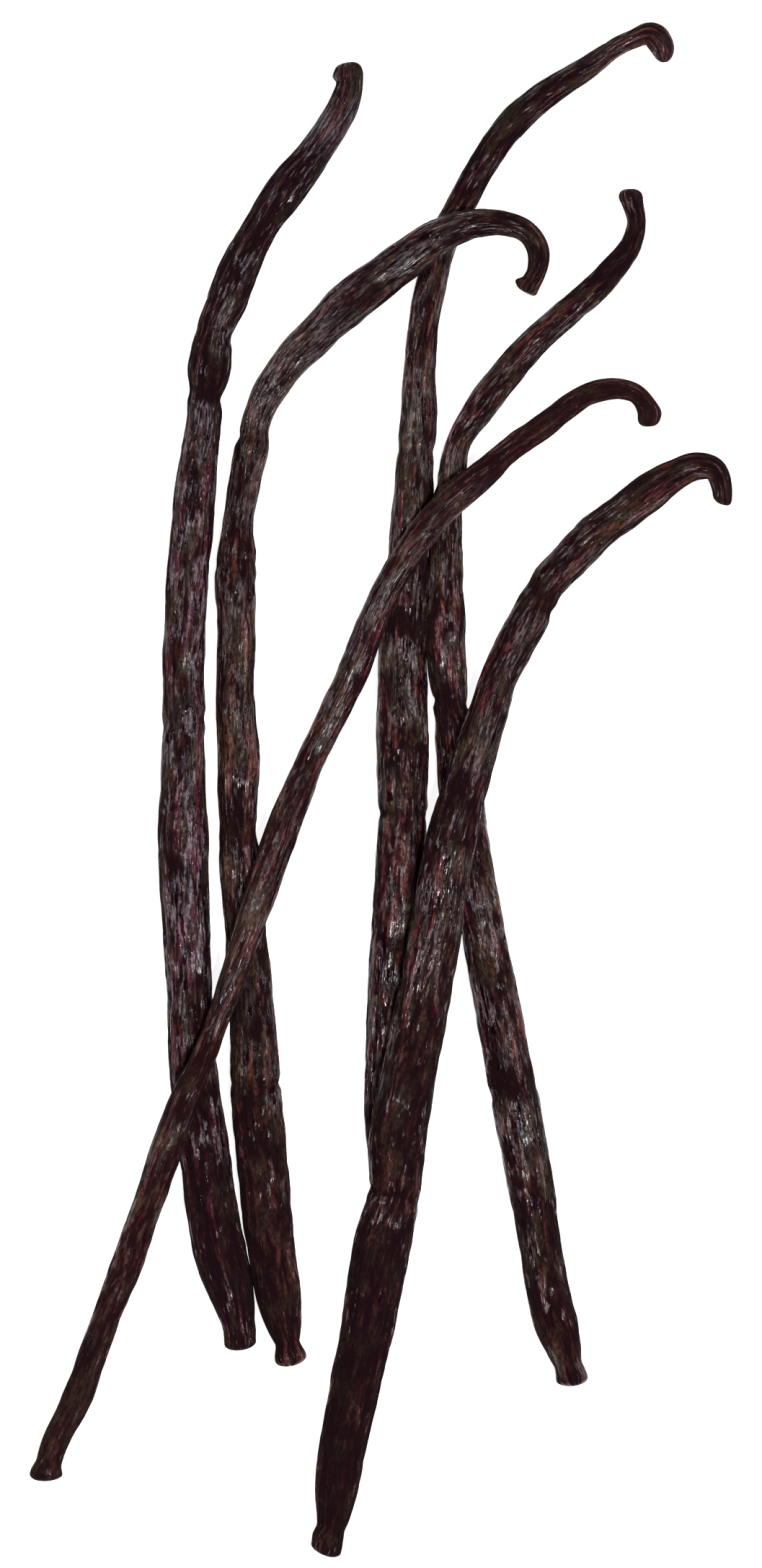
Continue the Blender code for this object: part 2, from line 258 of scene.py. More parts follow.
SLIM = Pod(
    "pod_slim",
    stations=(
        (39.0, 52.7, 2.9), (38.8, 55.3, 3.0), (37.3, 57.4, 2.8), (34.7, 58.2, 3.1), (31.0, 57.7, 3.2),
        (23.5, 52.6, 3.6), (18.1, 48.8, 3.6), (15.0, 45.9, 4.2), (9.9, 41.5, 4.4), (0.1, 27.6, 4.0),
        (-4.3, 16.5, 4.6), (-10.1, 4.5, 4.1), (-13.7, -4.0, 4.9), (-17.6, -15.4, 4.6), (-21.6, -27.2, 3.8),
        (-25.7, -38.5, 3.4), (-28.4, -44.8, 4.3), (-31.2, -52.2, 4.6), (-34.0, -60.6, 4.4),
        (-36.2, -66.9, 4.6), (-41.3, -80.3, 4.1), (-44.9, -90.0, 4.3), (-47.8, -95.8, 4.0),
        (-49.1, -101.0, 4.0)),
    stem_lip=0.4, neck=3.8, neck_place=3.0, button=4.7, taper=6.0, turn=1.7, seed=53, twist=0.012,
    over=("pod_middle", "pod_right", "pod_inner_left", "pod_outer_left"),
    shades=(Shade(53.0, 9.0, 0.5, 0.5), Shade(-42.0, 8.0, 0.3, 0.35), Shade(-88.0, 15.0, 0.35, 0.35)),
    bulges=(Bulge(1.9, right=0.40, length=0.9), Bulge(-1.3, right=0.10)),
    blossom_slant=0.25, stem_rounding=1.4, stem_squareness=2.6, wrinkling=0.8,
    slot=Slot.RED_SKIN, finish=REDDISH_SKIN)

WIDE = Pod(
    "pod_wide",
    stations=(
        (49.8, 41.3, 2.8), (49.6, 43.9, 3.0), (48.5, 46.4, 3.2), (45.9, 46.8, 3.8), (42.7, 45.6, 4.5),
        (39.1, 43.2, 5.6), (35.3, 40.3, 5.3), (31.5, 37.4, 5.6), (27.3, 33.2, 5.5), (23.9, 29.3, 5.0),
        (21.4, 24.6, 5.7), (17.6, 17.2, 5.3), (14.2, 7.0, 6.1), (10.4, -6.0, 7.2), (7.1, -24.9, 7.8),
        (4.7, -38.0, 7.8), (2.2, -52.5, 8.3), (1.8, -59.0, 7.5), (0.4, -64.8, 8.2), (-2.3, -79.5, 7.7),
        (-4.3, -89.0, 7.2), (-6.3, -100.0, 6.7), (-7.0, -106.0, 6.8), (-8.3, -111.8, 6.8)),
    stem_lip=0.0, neck=4.1, neck_place=4.2, button=4.6, taper=13.5, turn=2.6, seed=67,
    over=("pod_middle", "pod_right"),
    creases=(Crease(-58.6, 0.35, 0.6, 0.1), Crease(27.5, 0.45, 1.0, 0.4), Crease(-28.0, 0.2, 1.2, -0.2)),
    bulges=(Bulge(7.0, right=0.30, length=3.0), Bulge(-3.0, right=0.25)),
    shades=(Shade(45.0, 5.0, 0.35, 0.35), Shade(28.0, 2.0, 0.5, 0.3), Shade(-4.0, 6.0, 0.4, 0.2),
            Shade(-16.0, 4.0, 0.1, -0.1), Shade(-46.0, 14.0, 0.42, 0.35), Shade(-66.0, 6.0, 0.55, 0.3),
            Shade(-92.0, 22.0, 0.8, 0.8)),
    stem_slant=-0.32, blossom_slant=-0.12, stem_rounding=1.4, stem_squareness=2.6)

# Laid down in this order
PODS = (MIDDLE, RIGHT, OUTER_LEFT, INNER_LEFT, SLIM, WIDE)


def ease(share: np.ndarray) -> np.ndarray:
    """0 to 1 with a soft start and end."""
    share = np.clip(share, 0.0, 1.0)
    return share * share * (3.0 - 2.0 * share)


@dataclass
class Course:
    """A pod's centre line, widths and heights, at even steps, worked out as its solid's are."""

    pod: Pod
    step: float = 0.5
    curve_steps: int = 24
    thickness_at_zero: float = 1.2
    thickness_per_width: float = 0.5
    flare_length: float = 1.5
    taper_fullness: float = 0.9
    button_swell: float = 1.6
    gap: float = 0.3
    rest_sink: float = 0.17
    sag: float = 0.006
    bend_smoothing: float = 5.0
    settling_rounds: int = 6

    def __post_init__(self) -> None:
        """Works out the centre line and the widths."""
        x, y, width = self.smooth_curve()
        steps = np.hypot(np.diff(x), np.diff(y))
        places = np.concatenate(([0.0], np.cumsum(steps)))
        self.length: float = float(places[-1])
        self.along = np.linspace(0.0, self.length, int(self.length / self.step) + 1)
        self.x = np.interp(self.along, places, x)
        self.y = np.interp(self.along, places, y)
        self.width = self.finished_width(np.interp(self.along, places, width))
        self.thick = self.thickness_at_zero + self.thickness_per_width * self.width
        self.height = self.thick / 2

    def smooth_curve(self) -> np.ndarray:
        """Cubic pieces through the stations.

        Returns:
            x, y and width of the curve's points, one row each.
        """
        corners = np.array(self.pod.stations)
        places = np.concatenate(([0.0], np.cumsum(np.hypot(*np.diff(corners[:, :2], axis=0).T))))
        gaps = np.diff(places)[:, None]
        slopes = np.diff(corners, axis=0) / gaps
        bends = np.vstack((slopes[:1], (slopes[:-1] * gaps[1:] + slopes[1:] * gaps[:-1])
                           / (gaps[1:] + gaps[:-1]), slopes[-1:]))
        share = np.linspace(0.0, 1.0, self.curve_steps, endpoint=False)[:, None]
        rise = share ** 2 * (3 - 2 * share)
        start = share * (1 - share) ** 2
        finish = share ** 2 * (share - 1)
        pieces = [corners[i] + rise * (corners[i + 1] - corners[i])
                  + gaps[i] * (start * bends[i] + finish * bends[i + 1]) for i in range(len(gaps))]
        return np.vstack(pieces + [corners[-1:]]).T

    def finished_width(self, body: np.ndarray) -> np.ndarray:
        """Adds the stem's lip and the blossom end's taper, neck and button.

        Args:
            body: width of the body at each step along the pod.

        Returns:
            The width with both ends in it.
        """
        pod = self.pod
        stem = body + pod.stem_lip * np.exp(-(self.along / self.flare_length) ** 2)
        left = self.length - self.along
        opening = np.sin(np.clip((left - pod.neck_place) / (pod.taper - pod.neck_place), 0, 1) * math.pi / 2)
        tapered = pod.neck + (stem - pod.neck) * opening ** self.taper_fullness
        swell = ease((pod.neck_place - left) / pod.neck_place * self.button_swell)
        return tapered + (pod.button - pod.neck) * swell

    def lay(self, below: list["Course"]) -> None:
        """Rests the pod on the floor and over the pods below it, sagging between as its stiffness lets it.

        Args:
            below: the courses of the pods that it crosses, already laid.
        """
        half = self.thick / 2
        resting = half * (1.0 - self.rest_sink)
        needed = resting.copy()
        for lower in below:
            across = np.hypot(self.x[:, None] - lower.x, self.y[:, None] - lower.y)
            nearest = np.argmin(across, axis=1)
            reach = (self.width + lower.width[nearest]) / 2 + self.gap
            share = np.min(across, axis=1) / reach
            stacked = half + lower.thick[nearest] / 2 + self.gap
            lift = stacked * np.sqrt(np.clip(1.0 - share ** 2, 0.0, 1.0))
            needed = np.where(share < 1.0, np.maximum(needed, lower.height[nearest] + lift), needed)
        apart = (self.along[:, None] - self.along) ** 2
        height = np.maximum(resting, np.max(needed[None, :] - self.sag * apart, axis=1))
        weights = np.exp(-apart / self.bend_smoothing ** 2)
        weights /= weights.sum(axis=1, keepdims=True)
        for _ in range(self.settling_rounds):
            height = np.maximum(needed, weights @ height)
        self.height = height

    def at(self, name: str, places: np.ndarray) -> np.ndarray:
        """A value of the course at any places along it."""
        return np.interp(places, self.along, getattr(self, name))


class Tree:
    """Writes a node tree, one node at a time, and links what it is given."""

    def __init__(self, tree: bpy.types.NodeTree) -> None:
        """Starts with an empty tree."""
        self.tree = tree
        self.count = 0

    def add(self, kind: str, values: dict | None = None, **settings: object) -> bpy.types.Node:
        """Adds a node.

        Args:
            kind: the node's type name.
            values: what goes into its inputs, by name or number: a socket to link, or a plain value.
            settings: the node's own properties.

        Returns:
            The node.
        """
        node = self.tree.nodes.new(kind)
        node.location = (180 * (self.count // 6), -220 * (self.count % 6))
        self.count += 1
        for name, value in settings.items():
            setattr(node, name, value)
        for name, value in (values or {}).items():
            if isinstance(value, Socket):
                self.tree.links.new(value, node.inputs[name])
            else:
                node.inputs[name].default_value = value
        return node

    def math(self, operation: str, *values: object, clamp: bool = False) -> Socket:
        """One sum on numbers."""
        node = self.add("ShaderNodeMath", dict(enumerate(values)), operation=operation, use_clamp=clamp)
        return node.outputs[0]

    def vector(self, operation: str, *values: object, scale: object = None) -> Socket:
        """One sum on vectors.

        Args:
            operation: the sum's name.
            values: the vectors.
            scale: the number that they are scaled by, if they are.

        Returns:
            The result.
        """
        inputs = dict(enumerate(values))
        if scale is not None:
            inputs["Scale"] = scale
        return self.add("ShaderNodeVectorMath", inputs, operation=operation).outputs[0]

    def combine(self, x: object, y: object, z: object) -> Socket:
        """A vector of three numbers."""
        return self.add("ShaderNodeCombineXYZ", {"X": x, "Y": y, "Z": z}).outputs[0]

    def noise(self, place: object, scale: object, detail: float, seed: object,
              roughness: float = 0.5) -> Socket:
        """Noise at a place, from about 0 to 1."""
        values = {"Vector": place, "W": seed, "Scale": scale, "Detail": detail, "Roughness": roughness}
        return self.add("ShaderNodeTexNoise", values, noise_dimensions="4D").outputs[0]

    def remap(self, value: object, low: object, high: object, new_low: float = 0.0,
              new_high: float = 1.0, smooth: bool = True) -> Socket:
        """Stretches a number from one range to another, and keeps it inside.

        Args:
            value: the number.
            low: what becomes the new low.
            high: what becomes the new high.
            new_low: where the new range starts.
            new_high: where it ends.
            smooth: whether it starts and ends softly.

        Returns:
            The new number.
        """
        values = {"Value": value, "From Min": low, "From Max": high, "To Min": new_low, "To Max": new_high}
        kind = "SMOOTHSTEP" if smooth else "LINEAR"
        return self.add("ShaderNodeMapRange", values, interpolation_type=kind, clamp=True).outputs[0]


class Draw(Enum):
    """Each pattern's own shift of the pod's seed."""

    RIDGES = 3.0
    WRINKLES = 7.0
    CRINKLES = 13.0
    LUMPS = 19.0
    STRENGTH = 29.0
    CREASES = 41.0
    CREASE_FADE = 47.0
    DENTS = 53.0


class SkinTree:
    """Geometry Nodes that sweep a pod's skin along its route and press the wrinkles into it."""

    MEASURES = ("Ridge Width", "Ridge Depth", "Ridge Stretch", "Wrinkle Width", "Wrinkle Depth",
                "Wrinkle Stretch", "Crinkle Width", "Crinkle Depth", "Lump Width", "Lump Depth",
                "Dent Width", "Dent Depth", "Proud", "Face Depth", "Face Turn")
    POD_NUMBERS = ("Crease Wander", "Twist", "Face Start", "Girth", "Seed")
    CARRIED = ("lively", "gloom", "dryness")
    FACES = 3.0
    FOLD_GAIN = 2.6
    FOLD_ROUNDNESS = 0.65
    WANDER_SCALE = (0.22, 0.22, 0.085)
    WANDER_REACH = (2.4, 2.4, 3.0)
    CRINKLE_LENGTHENING = 0.30
    CRINKLE_ROUGHNESS = 0.6
    DENT_LENGTHENING = 0.40
    RIDGE_LEVEL = 0.75
    WRINKLE_LEVEL = 0.7
    LUMP_LEVEL = 0.55
    MIDDLE_LEVEL = 0.5
    STRENGTH_SCALE = 0.16
    STRENGTH_LENGTHENING = 0.45
    STRENGTH_RANGE = (0.30, 0.68, 0.35, 1.15)
    CREASE_SCALE = 0.45
    CREASE_LENGTHENING = 0.3
    CREASE_ROUGHNESS = 0.6
    CREASE_FADE_SCALE = 0.3
    CREASE_FADE_RANGE = (0.3, 0.62, 0.25, 1.1)

    def __init__(self) -> None:
        """Builds the tree once, for all pods."""
        self.group = bpy.data.node_groups.new("pod skin", "GeometryNodeTree")
        face = self.group.interface
        face.new_socket("Route", in_out="INPUT", socket_type="NodeSocketGeometry")
        face.new_socket("Sides", in_out="INPUT", socket_type="NodeSocketInt")
        for name in self.MEASURES + self.POD_NUMBERS:
            face.new_socket(name, in_out="INPUT", socket_type="NodeSocketFloat")
        face.new_socket("Skin", in_out="INPUT", socket_type="NodeSocketMaterial")
        face.new_socket("Pod", in_out="OUTPUT", socket_type="NodeSocketGeometry")
        self.tree = Tree(self.group)
        self.given = self.tree.add("NodeGroupInput").outputs
        self.build()

    def read(self, name: str, kind: str = "FLOAT") -> Socket:
        """A value that the route carries."""
        node = self.tree.add("GeometryNodeInputNamedAttribute", {"Name": name}, data_type=kind)
        return node.outputs[0]

    def keep(self, shape: Socket, name: str, value: object,
             kind: str = "FLOAT") -> Socket:
        """Stores a value on the shape's points.

        Args:
            shape: the shape.
            name: the value's name there.
            value: the value.
            kind: its type.

        Returns:
            The shape with the value on it.
        """
        values = {"Geometry": shape, "Name": name, "Value": value}
        settings = {"data_type": kind, "domain": "POINT"}
        return self.tree.add("GeometryNodeStoreNamedAttribute", values, **settings).outputs[0]

    def seed(self, draw: Draw) -> Socket:
        """The pod's seed, shifted for one pattern."""
        return self.tree.math("ADD", self.given["Seed"], draw.value)

    def scale(self, width: str) -> Socket:
        """The noise scale that makes marks as wide as the named input says."""
        return self.tree.math("DIVIDE", 0.5, self.given[width])

    def pattern(self, place: Socket, draw: Draw, scale: object, lengthening: float = 1.0,
                detail: float = 1.0, roughness: float = 0.5) -> Socket:
        """Noise on the straightened pod, drawn out along it where the lengthening is below 1."""
        seen = self.tree.vector("MULTIPLY", place, (1.0, 1.0, lengthening))
        return self.tree.noise(seen, scale, detail, self.seed(draw), roughness)

    def swept(self) -> Socket:
        """Sweeps a ring of points, each with its turn round the pod, along the route.

        Returns:
            The tube.
        """
        tree, given = self.tree, self.given
        values = {"Resolution": given["Sides"], "Radius": MILLIMETRE}
        ring = tree.add("GeometryNodeCurvePrimitiveCircle", values)
        place = tree.add("GeometryNodeInputIndex").outputs[0]
        turn = tree.math("DIVIDE", tree.math("MULTIPLY", place, math.tau), given["Sides"])
        ring = self.keep(ring.outputs[0], "turn", turn)
        route = tree.add("GeometryNodeMeshToCurve", {"Mesh": given["Route"]}).outputs[0]
        values = {"Curve": route, "Profile Curve": ring, "Fill Caps": True}
        return tree.add("GeometryNodeCurveToMesh", values).outputs[0]

    def straightened(self) -> Socket:
        """Where a point of the skin would be if the pod were a straight round rod.

        Returns:
            Its place on that rod, in millimetres, with the rod along Z.
        """
        tree, given = self.tree, self.given
        along = self.read("along")
        turn = tree.math("ADD", self.read("turn"), tree.math("MULTIPLY", along, given["Twist"]))
        x = tree.math("MULTIPLY", tree.math("COSINE", turn), given["Girth"])
        y = tree.math("MULTIPLY", tree.math("SINE", turn), given["Girth"])
        return tree.combine(x, y, along)

    def wandering(self, place: Socket) -> Socket:
        """Moves a place about, so that no ridge runs dead straight.

        Args:
            place: the place on the straightened pod.

        Returns:
            The moved place.
        """
        tree = self.tree
        slow = tree.vector("MULTIPLY", place, self.WANDER_SCALE)
        values = {"Vector": slow, "W": self.given["Seed"], "Scale": 1.0, "Detail": 2.0}
        swirl = tree.add("ShaderNodeTexNoise", values, noise_dimensions="4D").outputs["Color"]
        shift = tree.vector("MULTIPLY", tree.vector("SUBTRACT", swirl, (0.5, 0.5, 0.5)), self.WANDER_REACH)
        return tree.vector("ADD", place, shift)

    def folds(self, place: Socket, width: str, stretch: str, draw: Draw) -> Socket:
        """Rounded folds that run along the pod, with sharp furrows between them.

        Args:
            place: the place on the straightened pod.
            width: the input that says how wide a fold is.
            stretch: the input that says how many times longer it is.
            draw: the pattern's own draw.

        Returns:
            0 in a furrow to 1 on a fold.
        """
        tree = self.tree
        parts = tree.add("ShaderNodeSeparateXYZ", {"Vector": place}).outputs
        drawn = tree.combine(parts[0], parts[1], tree.math("DIVIDE", parts[2], self.given[stretch]))
        noise = tree.noise(drawn, self.scale(width), 1.0, self.seed(draw))
        swing = tree.math("MULTIPLY_ADD", noise, 2.0, -1.0)
        steep = tree.math("MULTIPLY", tree.math("ABSOLUTE", swing), self.FOLD_GAIN, clamp=True)
        return tree.math("POWER", steep, self.FOLD_ROUNDNESS)

    def pressed(self, pattern: Socket, level: float, depth: str) -> Socket:
        """A pattern times the named input, and nothing where it has the given level."""
        return self.tree.math("MULTIPLY", self.tree.math("SUBTRACT", pattern, level), self.given[depth])

    def creased(self, place: Socket) -> Socket:
        """Creases across the pod, which wander and fade as they go round.

        Args:
            place: the place on the straightened pod.

        Returns:
            How deep they press, in millimetres.
        """
        tree, given = self.tree, self.given
        wander = self.pattern(place, Draw.CREASES, self.CREASE_SCALE, self.CREASE_LENGTHENING, 2.0,
                              self.CREASE_ROUGHNESS)
        shift = self.pressed(wander, self.MIDDLE_LEVEL, "Crease Wander")
        lean = tree.math("MULTIPLY", tree.math("COSINE", self.read("turn")), self.read("crease_lean"))
        ring = tree.math("ADD", self.read("ring"), tree.math("ADD", shift, lean))
        values = {"Geometry": given["Route"], "Value": self.read("crease"), "Index": ring}
        depth = tree.add("GeometryNodeSampleIndex", values, data_type="FLOAT", domain="POINT", clamp=True)
        fade = self.pattern(place, Draw.CREASE_FADE, self.CREASE_FADE_SCALE)
        return tree.math("MULTIPLY", depth.outputs[0], tree.remap(fade, *self.CREASE_FADE_RANGE))

    def bulged(self) -> Socket:
        """How far the pod's bulges swell a point's side of it.

        Returns:
            The swelling, in millimetres.
        """
        tree = self.tree
        side = tree.math("MULTIPLY_ADD", tree.math("COSINE", self.read("turn")), 0.5, 0.5)
        left, right = self.read("bulge_left"), self.read("bulge_right")
        return tree.math("MULTIPLY_ADD", tree.math("SUBTRACT", right, left), side, left)

    def relief(self, place: Socket) -> tuple[Socket, ...]:
        """How far the skin stands out from the smooth pod, in millimetres.

        Args:
            place: the place on the straightened pod.

        Returns:
            The whole relief, the ridges and the wrinkles from 0 to 1, and the depth of the creases.
        """
        tree = self.tree
        moved = self.wandering(place)
        ridges = self.folds(moved, "Ridge Width", "Ridge Stretch", Draw.RIDGES)
        wrinkles = self.folds(moved, "Wrinkle Width", "Wrinkle Stretch", Draw.WRINKLES)
        crinkles = self.pattern(moved, Draw.CRINKLES, self.scale("Crinkle Width"), self.CRINKLE_LENGTHENING,
                                2.0, self.CRINKLE_ROUGHNESS)
        lumps = self.pattern(place, Draw.LUMPS, self.scale("Lump Width"))
        dents = self.pattern(moved, Draw.DENTS, self.scale("Dent Width"), self.DENT_LENGTHENING)
        patch = self.pattern(place, Draw.STRENGTH, self.STRENGTH_SCALE, self.STRENGTH_LENGTHENING)
        strength = tree.remap(patch, *self.STRENGTH_RANGE)
        deep = tree.math("MULTIPLY", self.pressed(ridges, self.RIDGE_LEVEL, "Ridge Depth"), strength)
        fine = self.pressed(wrinkles, self.WRINKLE_LEVEL, "Wrinkle Depth")
        crisp = self.pressed(crinkles, self.MIDDLE_LEVEL, "Crinkle Depth")
        broad = self.pressed(lumps, self.LUMP_LEVEL, "Lump Depth")
        uneven = tree.math("ADD", self.pressed(dents, self.MIDDLE_LEVEL, "Dent Depth"), self.given["Proud"])
        skin = tree.math("ADD", tree.math("ADD", deep, fine), tree.math("ADD", crisp, broad))
        skin = tree.math("ADD", skin, uneven)
        swollen = tree.math("MULTIPLY_ADD", skin, self.read("body"), self.bulged())
        crease = self.creased(place)
        return tree.math("SUBTRACT", swollen, crease), ridges, wrinkles, crease

    def narrowed(self) -> Socket:
        """How much of the full section a point's ring keeps, less where the softly faceted pod is flatter.

        Returns:
            The share, up to 1.
        """
        tree, given = self.tree, self.given
        start = tree.math("MULTIPLY_ADD", self.read("turn"), self.FACES, given["Face Start"])
        faces = tree.math("MULTIPLY_ADD", self.read("along"), given["Face Turn"], start)
        sunk = tree.math("MULTIPLY", tree.math("SUBTRACT", 1.0, tree.math("COSINE", faces)),
                         tree.math("DIVIDE", given["Face Depth"], 2.0))
        return tree.math("MULTIPLY", tree.math("SUBTRACT", 1.0, sunk), self.read("reach"))

    def placed(self, relief: Socket) -> Socket:
        """Where a point of the skin goes: out from its ring's middle along the flattened section.

        Args:
            relief: how far the point stands out from the smooth pod.

        Returns:
            Its place in metres, no lower than the floor.
        """
        tree = self.tree
        turn, reach = self.read("turn"), self.narrowed()
        across, upward = tree.math("COSINE", turn), tree.math("SINE", turn)
        side, up, ahead = (self.read(name, "FLOAT_VECTOR") for name in ("side", "up", "ahead"))
        half_width, half_thick = self.read("half_width"), self.read("half_thick")
        outward = tree.vector("NORMALIZE", tree.vector(
            "ADD", tree.vector("SCALE", side, scale=tree.math("MULTIPLY", across, half_thick)),
            tree.vector("SCALE", up, scale=tree.math("MULTIPLY", upward, half_width))))
        wide = tree.math("MULTIPLY", tree.math("MULTIPLY", across, half_width), reach)
        tall = tree.math("MULTIPLY", tree.math("MULTIPLY", upward, half_thick), reach)
        lean = tree.math("MULTIPLY", wide, self.read("slant"))
        place = self.read("middle", "FLOAT_VECTOR")
        for direction, amount in ((side, wide), (up, tall), (ahead, lean), (outward, relief)):
            place = tree.vector("ADD", place, tree.vector("SCALE", direction, scale=amount))
        parts = tree.add("ShaderNodeSeparateXYZ", {"Vector": place}).outputs
        place = tree.combine(parts[0], parts[1], tree.math("MAXIMUM", parts[2], 0.0))
        return tree.vector("SCALE", place, scale=MILLIMETRE)

    def build(self) -> None:
        """Joins the steps into the tree, and stores on the skin what its material reads."""
        tree = self.tree
        tube = self.swept()
        place = self.straightened()
        relief, ridges, wrinkles, crease = self.relief(place)
        spot = self.placed(relief)
        shape = self.keep(tube, "pod_place", place, "FLOAT_VECTOR")
        for name in self.CARRIED:
            shape = self.keep(shape, name, self.read(name))
        for name, value in (("ridge", ridges), ("wrinkle", wrinkles), ("fold", crease)):
            shape = self.keep(shape, name, value)
        shape = tree.add("GeometryNodeSetPosition", {"Geometry": shape, "Position": spot}).outputs[0]
        shape = tree.add("GeometryNodeRealizeInstances", {"Geometry": shape}).outputs[0]
        values = {"Geometry": shape, "Material": self.given["Skin"]}
        tree.add("NodeGroupOutput", {0: tree.add("GeometryNodeSetMaterial", values).outputs[0]})


@dataclass(frozen=True)
class Streak:
    """A layer of streaks along the pod.

    It has their width in millimetres, how many times longer they are, its own shift of the pod's seed, and
    the threshold and softness of its mask.
    """

    width: float
    stretch: float
    shift: float
    threshold: float = 0.5
    softness: float = 0.05


class SkinMaterials:
    """Materials of the pods' skins, whose streaks all come from one shared node group."""

    # The finest grey streaks shape the bump, and in the colour they are part grey dusting and part painted
    # highlight and sheen. The dark lines are pressed in by the bump and painted as shade.
    MASKS = {
        "patches": Streak(1.1, 2.4, 1.0, 0.48, 0.07),
        "blotch": Streak(1.8, 1.8, 6.0, 0.50, 0.12),
        "rust": Streak(0.36, 3.8, 2.0, 0.54, 0.09),
        "dust_and_sheen_streaks": Streak(0.17, 8.0, 3.0, 0.54, 0.06),
        "dark": Streak(0.20, 26.0, 5.0, 0.50, 0.06),
        "green": Streak(0.9, 3.0, 7.0, 0.56, 0.08),
        "glint": Streak(0.18, 8.0, 4.0, 0.50, 0.20),
        "speck": Streak(0.14, 2.6, 10.0, 0.53, 0.07)}
    OILY_AREAS = Streak(1.4, 3.2, 9.0)
    DASHES = Streak(0.25, 4.6, 12.0, softness=0.028)
    FOLD_RANGE = (0.07, 0.28)
    CREST_RANGE = (0.2, 0.7, 0.06, -0.05)
    AREA_DRYNESS = 0.30
    DASH_DRYNESS = 0.20
    DASH_END = 0.535
    DASH_MIDDLE = 0.495
    DASH_IN_PATCHES = -0.08
    DASH_IN_BLOTCHES = 0.07
    # Painted shade: below the raised range the furrows take the furrow colour, as do the dark lines and the
    # creases.
    RAISED_RANGE = (0.15, 0.8)
    DARK_SHARE = 0.7
    OLIVE_SHARE = 0.45
    FOLD_SHARE = 0.8
    SPECK_SHARE = 0.72
    # Painted sheen on bands whose gloom is below zero, and less painted darkening on the grey streaks where
    # it is above zero.
    PAINTED_SHEEN_STREAKS = (1.5, 0.2)
    MURK_OFF_STREAKS = (-0.4, 1.05)
    GRAIN_LENGTHENING = 0.30
    GRAIN_SCALE = 4.0
    GRAIN_ROUGHNESS = 0.6
    GRAIN_SHEEN = (0.3, 0.7, -0.06, 0.08)
    DUST_HEIGHT = 0.030
    GLINT_HEIGHT = 0.030
    GRAIN_HEIGHT = 0.025
    DARK_DEPTH = 0.06
    REFRACTION = 1.45
    SPECULAR = 0.08

    def __init__(self) -> None:
        """Builds the shared group."""
        self.streaks = self.streak_group()

    @staticmethod
    def streak_group() -> bpy.types.NodeTree:
        """Streaks that run along the pod.

        Returns:
            A group that puts out a mask from 0 to 1.
        """
        group = bpy.data.node_groups.new("streaks along the pod", "ShaderNodeTree")
        face = group.interface
        face.new_socket("Place", in_out="INPUT", socket_type="NodeSocketVector")
        for name in ("Width", "Stretch", "Seed", "Threshold", "Softness"):
            face.new_socket(name, in_out="INPUT", socket_type="NodeSocketFloat")
        face.new_socket("Mask", in_out="OUTPUT", socket_type="NodeSocketFloat")
        tree = Tree(group)
        given = tree.add("NodeGroupInput").outputs
        parts = tree.add("ShaderNodeSeparateXYZ", {"Vector": given["Place"]}).outputs
        drawn = tree.combine(parts[0], parts[1], tree.math("DIVIDE", parts[2], given["Stretch"]))
        noise = tree.noise(drawn, tree.math("DIVIDE", 0.5, given["Width"]), 2.0, given["Seed"], 0.55)
        low = tree.math("SUBTRACT", given["Threshold"], given["Softness"])
        high = tree.math("ADD", given["Threshold"], given["Softness"])
        tree.add("NodeGroupOutput", {0: tree.remap(noise, low, high)})
        return group

    def streak(self, tree: Tree, place: Socket, seed: int, layer: Streak,
               threshold: object = None) -> Socket:
        """Puts the streak group into a material.

        Args:
            tree: the material's tree.
            place: the place on the straightened pod.
            seed: the pod's seed.
            layer: the streaks' sizes.
            threshold: what takes the place of the layer's own threshold, if anything does.

        Returns:
            The mask.
        """
        values = {
            "Place": place, "Width": layer.width, "Stretch": layer.stretch, "Seed": seed + layer.shift,
            "Threshold": layer.threshold if threshold is None else threshold,
            "Softness": layer.softness}
        return tree.add("ShaderNodeGroup", values, node_tree=self.streaks).outputs[0]

    @staticmethod
    def mix(tree: Tree, share: object, first: object, second: object) -> Socket:
        """Blends two colours.

        Args:
            tree: the material's tree.
            share: how much of the second colour there is.
            first: a colour, or a socket that has one.
            second: the same.

        Returns:
            The blend.
        """
        node = tree.add("ShaderNodeMix", {"Factor": share}, data_type="RGBA")
        for number, value in ((6, first), (7, second)):
            if isinstance(value, Socket):
                tree.tree.links.new(value, node.inputs[number])
            else:
                node.inputs[number].default_value = (*value, 1.0)
        return node.outputs[2]

    def marks(self, tree: Tree, seed: int) -> Marks:
        """What the skin carries from its tree, and the masks of its streaks.

        Args:
            tree: the material's tree.
            seed: the pod's seed.

        Returns:
            The sockets by name.
        """
        def carried(name: str) -> Socket:
            """A number that the skin carries."""
            return tree.add("ShaderNodeAttribute", attribute_name=name).outputs["Fac"]

        place = tree.add("ShaderNodeAttribute", attribute_name="pod_place").outputs["Vector"]
        marks = {name: self.streak(tree, place, seed, layer) for name, layer in self.MASKS.items()}
        marks.update({name: carried(name) for name in SkinTree.CARRIED})
        marks["place"] = place
        marks["fold"] = tree.remap(carried("fold"), *self.FOLD_RANGE)
        marks["raised"] = tree.math("MULTIPLY", carried("ridge"), carried("wrinkle"))
        seen = tree.vector("MULTIPLY", place, (1.0, 1.0, self.GRAIN_LENGTHENING))
        marks["grain"] = tree.noise(seen, self.GRAIN_SCALE, 2.0, float(seed), self.GRAIN_ROUGHNESS)
        return marks

